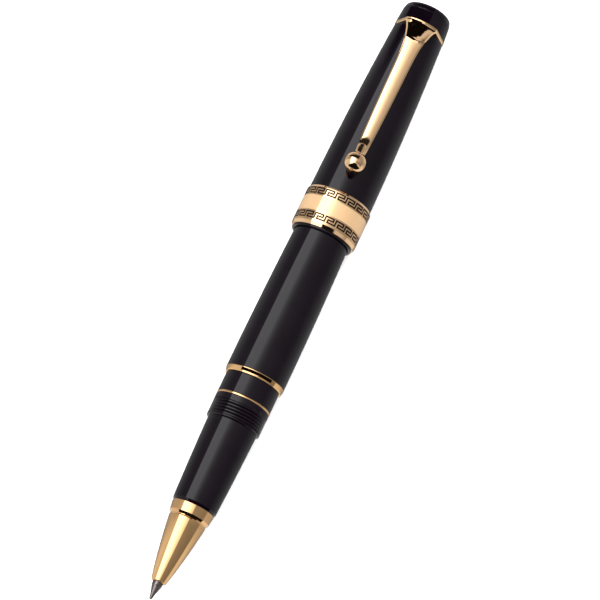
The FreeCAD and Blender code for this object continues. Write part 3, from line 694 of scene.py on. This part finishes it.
def dress_kept_nodes():
    """Give the nodes whose CAD meshes stay visible their materials."""
    for name, finish in KEPT.items():
        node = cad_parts[name]
        node.data.materials.clear()
        node.data.materials.append(finish["material"])


# --- studio ------------------------------------------------------------------------------

LEVEL = 3.0  # the brightness that a ramp's white stands for
CAMERA_SIDE = 3.0  # the camera's own azimuth, in degrees to the right

# A direction in the studio has an azimuth from the camera's, growing to the right, and a tilt towards
# the crown, both in degrees. The tables give brightness by azimuth for four bands of tilt: AROUND for
# the middle, AROUND_NOSE under NOSE_EDGE, AROUND_CROWN above CROWN_EDGE, AROUND_FOOT under FOOT_EDGE.
AROUND = [(-180, 0.20), (-160, 0.26), (-138, 0.42), (-116, 0.50), (-104, 0.48), (-96, 0.44), (-88, 0.37),
          (-75, 0.36), (-64, 0.44), (-59, 0.46), (-57.5, 3.5), (-24, 3.4), (-19, 2.5), (-7.5, 1.3),
          (3.8, 0.74), (15, 0.56), (26, 0.48), (40, 0.40), (56, 0.33), (72, 0.30), (80, 0.34), (90, 0.46),
          (104, 0.50), (120, 0.52), (138, 0.44), (160, 0.28), (180, 0.20)]
AROUND_NOSE = [(-180, 0.84), (-104, 0.82), (-75, 0.72), (-59, 0.74), (-56, 3.0), (-30, 3.0), (-14, 1.9),
               (0, 1.3), (5, 1.15), (8, 0.32), (40, 0.27), (74, 0.23), (79, 0.27), (83, 0.74), (100, 0.80),
               (120, 0.84), (180, 0.84)]
AROUND_CROWN = [(-180, 0.72), (-110, 0.72), (-97, 0.66), (-92, 0.40), (-60, 0.40), (-14, 0.40), (-8, 0.38),
                (60, 0.36), (95, 0.45), (105, 0.70), (180, 0.72)]
AROUND_FOOT = [(-180, 0.80), (-100, 0.72), (-61, 0.75), (-57, 2.4), (-14, 2.4), (-6, 0.95), (8, 0.78),
               (40, 0.66), (75, 0.60), (96, 0.66), (103, 0.90), (180, 0.80)]
# Each edge is a tilt and half the width of its blend.
NOSE_EDGE = (1.0, 3.0)
CROWN_EDGE = (27.0, 1.0)
FOOT_EDGE = (-20.0, 3.0)
# Tilts by azimuth: it is dark between DARK_TOP and DARK_TOP_END, and under DARK_FOOT.
DARK_TOP = [(-180, 90), (-104, 90), (-100, 24), (-73, 24), (-57, 26.5), (20, 27), (23, 52), (38, 66),
            (50, 90), (180, 90)]
DARK_TOP_END = [(-180, 90), (-99, 90), (-95, 30), (-81, 44), (-64, 57), (-38, 66), (21, 70), (50, 90),
                (180, 90)]
DARK_FOOT = [(-180, -90), (-108, -90), (-104, -45), (-69, -46), (-30, -38), (-22, -36), (-19, -27),
             (11, -25), (35, -28), (39, -34), (62, -37), (97, -30), (106, -58), (110, -90), (180, -90)]
# Half the widths of the blends at these borders, and the brightness of the two dark parts.
DARK_BLEND = 0.8
DARK_TOP_END_BLEND = 2.0
DARK_TOP_LEVEL = 0.02
DARK_FOOT_LEVEL = 0.008
BACKDROP = 0.95  # what the camera sees beyond the floor


def table_node(nodes, links, source, rows, low, high):
    """A ramp over -180 to 180 degrees that returns values between low and high."""
    ramp = nodes.new("ShaderNodeValToRGB")
    elements = ramp.color_ramp.elements
    while len(elements) > 1:
        elements.remove(elements[-1])
    for number, (azimuth, value) in enumerate(rows):
        element = elements[0] if number == 0 else elements.new((azimuth + 180) / 360)
        element.position = (azimuth + 180) / 360
        share = (value - low) / (high - low)
        element.color = (share, share, share, 1)
    links.new(source, ramp.inputs["Fac"])
    return math_node(nodes, links, "MULTIPLY_ADD", ramp.outputs["Color"], high - low, low)


def step_node(nodes, links, value, edge, width):
    """0 below the edge and 1 above it, with a soft border; the edge may be a socket."""
    above = math_node(nodes, links, "SUBTRACT", value, edge)
    ranged = nodes.new("ShaderNodeMapRange")
    ranged.inputs["From Min"].default_value = -width
    ranged.inputs["From Max"].default_value = width
    links.new(above, ranged.inputs["Value"])
    return ranged.outputs["Result"]


def blend_node(nodes, links, share, first, second):
    """First where share is 0, second where it is 1."""
    rest = math_node(nodes, links, "SUBTRACT", 1.0, share)
    return math_node(nodes, links, "ADD", math_node(nodes, links, "MULTIPLY", rest, first),
                     math_node(nodes, links, "MULTIPLY", share, second))


def studio_level(nodes, links, azimuth, tilt):
    """Brightness of the studio in a direction; tilt is its angle towards the crown."""
    share = math_node(nodes, links, "MULTIPLY_ADD", azimuth, 1 / 360, 0.5)

    def around(rows):
        return table_node(nodes, links, share, rows, 0.0, LEVEL)

    def beyond(edge, width):
        return step_node(nodes, links, tilt, edge, width)

    def beyond_border(rows, width):
        return beyond(table_node(nodes, links, share, rows, -90.0, 90.0), width)

    def without(part):
        return math_node(nodes, links, "SUBTRACT", 1.0, part)

    level = blend_node(nodes, links, beyond(*NOSE_EDGE), around(AROUND_NOSE), around(AROUND))
    level = blend_node(nodes, links, beyond(*CROWN_EDGE), level, around(AROUND_CROWN))
    level = blend_node(nodes, links, beyond(*FOOT_EDGE), around(AROUND_FOOT), level)
    dark_top = beyond_border(DARK_TOP, DARK_BLEND)
    before_end = without(beyond_border(DARK_TOP_END, DARK_TOP_END_BLEND))
    dark_top = math_node(nodes, links, "MULTIPLY", dark_top, before_end)
    dark_foot = without(beyond_border(DARK_FOOT, DARK_BLEND))
    level = blend_node(nodes, links, dark_top, level, DARK_TOP_LEVEL)
    return blend_node(nodes, links, dark_foot, level, DARK_FOOT_LEVEL)


def make_world():
    """The studio as a surrounding light, laid out round the pen's axis."""
    world = bpy.data.worlds.new("studio")
    bpy.context.scene.world = world
    world.use_nodes = True
    nodes, links = world.node_tree.nodes, world.node_tree.links
    where = nodes.new("ShaderNodeTexCoord")
    axes = nodes.new("ShaderNodeSeparateXYZ")
    links.new(where.outputs["Generated"], axes.inputs["Vector"])
    to_degrees = 180 / math.pi
    right = math_node(nodes, links, "MULTIPLY", axes.outputs["Y"], -1.0)
    turn = math_node(nodes, links, "ARCTAN2", right, axes.outputs["Z"])
    azimuth = math_node(nodes, links, "MULTIPLY_ADD", turn, to_degrees, -CAMERA_SIDE)
    rise = math_node(nodes, links, "ARCSINE", axes.outputs["X"])
    tilt = math_node(nodes, links, "MULTIPLY", rise, to_degrees)
    level = studio_level(nodes, links, azimuth, tilt)
    paths = nodes.new("ShaderNodeLightPath")
    level = blend_node(nodes, links, paths.outputs["Is Camera Ray"], level, BACKDROP)
    links.new(level, nodes["Background"].inputs["Color"])
    nodes["Background"].inputs["Strength"].default_value = 1.0


def make_floor():
    """A plain pale floor under the pen. The studio's lower half stands for it in reflections."""
    mesh = bpy.data.meshes.new("floor")
    reach = 4.0
    corners = [(-reach, -reach, 0), (reach, -reach, 0), (reach, reach, 0), (-reach, reach, 0)]
    mesh.from_pydata(corners, [], [(0, 1, 2, 3)])
    material, nodes, links = node_tree("floor_paper")
    shader = nodes["Principled BSDF"]
    shader.inputs["Roughness"].default_value = 0.9
    shader.inputs["Specular IOR Level"].default_value = 0.0
    tones = [(0.88, 0.88, 0.88), (0.90, 0.90, 0.90)]
    drift = noise(nodes, links, 60.0, 3.0)
    links.new(two_tone(nodes, links, drift, *tones), shader.inputs["Base Color"])
    mesh.materials.append(material)
    floor = bpy.data.objects.new("floor", mesh)
    bpy.context.scene.collection.objects.link(floor)
    floor.visible_glossy = False


# Two small black flags. Corners are distances to the right of the pen and heights above its axis.
RING_FLAG_STATION = 54.0
RING_FLAG_INSIDE = (11.0, range(-43, 48, 5))  # radius, and azimuths in degrees
RING_FLAG_OUTSIDE = (35.0, range(59, -60, -6))
CLIP_FLAG_STATION = 139.8
CLIP_FLAG = [(-30, 13.5), (-4, 13.5), (-0.7, 13.3), (1.1, 14.8), (3.5, 16.0), (6.2, 16.9), (9, 17.4),
             (9, 18.0), (3, 19), (0, 20.3), (-1.5, 32), (-30, 32)]


def arc_corners(radius, azimuths):
    """Corners on an arc round the pen's axis."""
    return [(radius * math.sin(math.radians(a)), radius * math.cos(math.radians(a))) for a in azimuths]


def make_flag(name, station, corners):
    """A black flag square to the pen. Only reflections show it, and only from its crown side."""
    mesh = bpy.data.meshes.new(name)
    points = [(station, -right, up) for right, up in corners]
    facing_crown = tuple(range(len(corners)))[::-1]
    mesh.from_pydata(in_row_frame(points).tolist(), [], [facing_crown])
    material, nodes, links = node_tree(name + "_cloth")
    side = nodes.new("ShaderNodeNewGeometry")
    black = nodes.new("ShaderNodeEmission")
    black.inputs["Color"].default_value = (0.004, 0.003, 0.003, 1)
    clear = nodes.new("ShaderNodeBsdfTransparent")
    mix = nodes.new("ShaderNodeMixShader")
    links.new(side.outputs["Backfacing"], mix.inputs["Fac"])
    links.new(black.outputs["Emission"], mix.inputs[1])
    links.new(clear.outputs["BSDF"], mix.inputs[2])
    links.new(mix.outputs["Shader"], nodes["Material Output"].inputs["Surface"])
    mesh.materials.append(material)
    flag = bpy.data.objects.new(name, mesh)
    bpy.context.scene.collection.objects.link(flag)
    flag.visible_camera = flag.visible_diffuse = flag.visible_shadow = flag.visible_transmission = False


FILL_STRENGTH = 6.0
FILL_SPREAD = 70


def make_fill_light():
    """A broad soft light from above that lifts the floor to white; reflections do not show it."""
    data = bpy.data.lights.new("overhead", "SUN")
    data.energy = FILL_STRENGTH
    data.angle = math.radians(FILL_SPREAD)
    light = bpy.data.objects.new("overhead", data)
    light.location = (0, 0, 1)
    light.visible_glossy = False
    bpy.context.scene.collection.objects.link(light)


LENS = 225.0
SENSOR = 36.0
DISTANCE = 847.5
VIEW_TILT = 15.7  # degrees from straight above towards the tip
AIM_STATION = 76.7
AIM_RIGHT = 1.55  # how far to the right of the axis the camera aims
ROLL = (0.42904, 0.90329)  # sine and cosine of the pen's lean in the picture


def make_camera():
    """The camera stands above the pen, towards its tip and a little to the right of the clip."""
    tilt, side = math.radians(VIEW_TILT), math.radians(CAMERA_SIDE)
    back = Vector((-math.sin(tilt), -math.cos(tilt) * math.sin(side), math.cos(tilt) * math.cos(side)))
    back.normalize()
    along = Vector((1, 0, 0)) - back * back.x
    along.normalize()
    across = (-back).cross(along)
    right = along * ROLL[0] + across * ROLL[1]
    up = along * ROLL[1] - across * ROLL[0]
    aim = Vector(in_row_frame([(AIM_STATION, 0.0, 0.0)])[0])
    data = bpy.data.cameras.new("camera")
    data.lens = LENS
    data.sensor_width = SENSOR
    camera = bpy.data.objects.new("camera", data)
    camera.matrix_world = Matrix((right, up, back)).transposed().to_4x4()
    camera.matrix_world.translation = aim + across * AIM_RIGHT * MM + back * DISTANCE * MM
    bpy.context.scene.collection.objects.link(camera)
    bpy.context.scene.camera = camera


def main():
    make_refill_tip()
    make_nose()
    make_grip()
    make_collar()
    make_nipple()
    make_barrel()
    make_cap_shell()
    make_cap_band()
    for node, (front, back) in KEY_ROWS.items():
        make_key_row(node, front, back)
    make_crown()
    make_liner()
    make_washer()
    make_blade()
    make_ball()
    dress_kept_nodes()
    make_world()
    make_floor()
    ring_flag = arc_corners(*RING_FLAG_INSIDE) + arc_corners(*RING_FLAG_OUTSIDE)
    make_flag("ring_flag", RING_FLAG_STATION, ring_flag)
    make_flag("clip_flag", CLIP_FLAG_STATION, CLIP_FLAG)
    make_fill_light()
    make_camera()
    scene = bpy.context.scene
    scene.view_settings.view_transform = "Standard"
    scene.render.film_transparent = False


main()
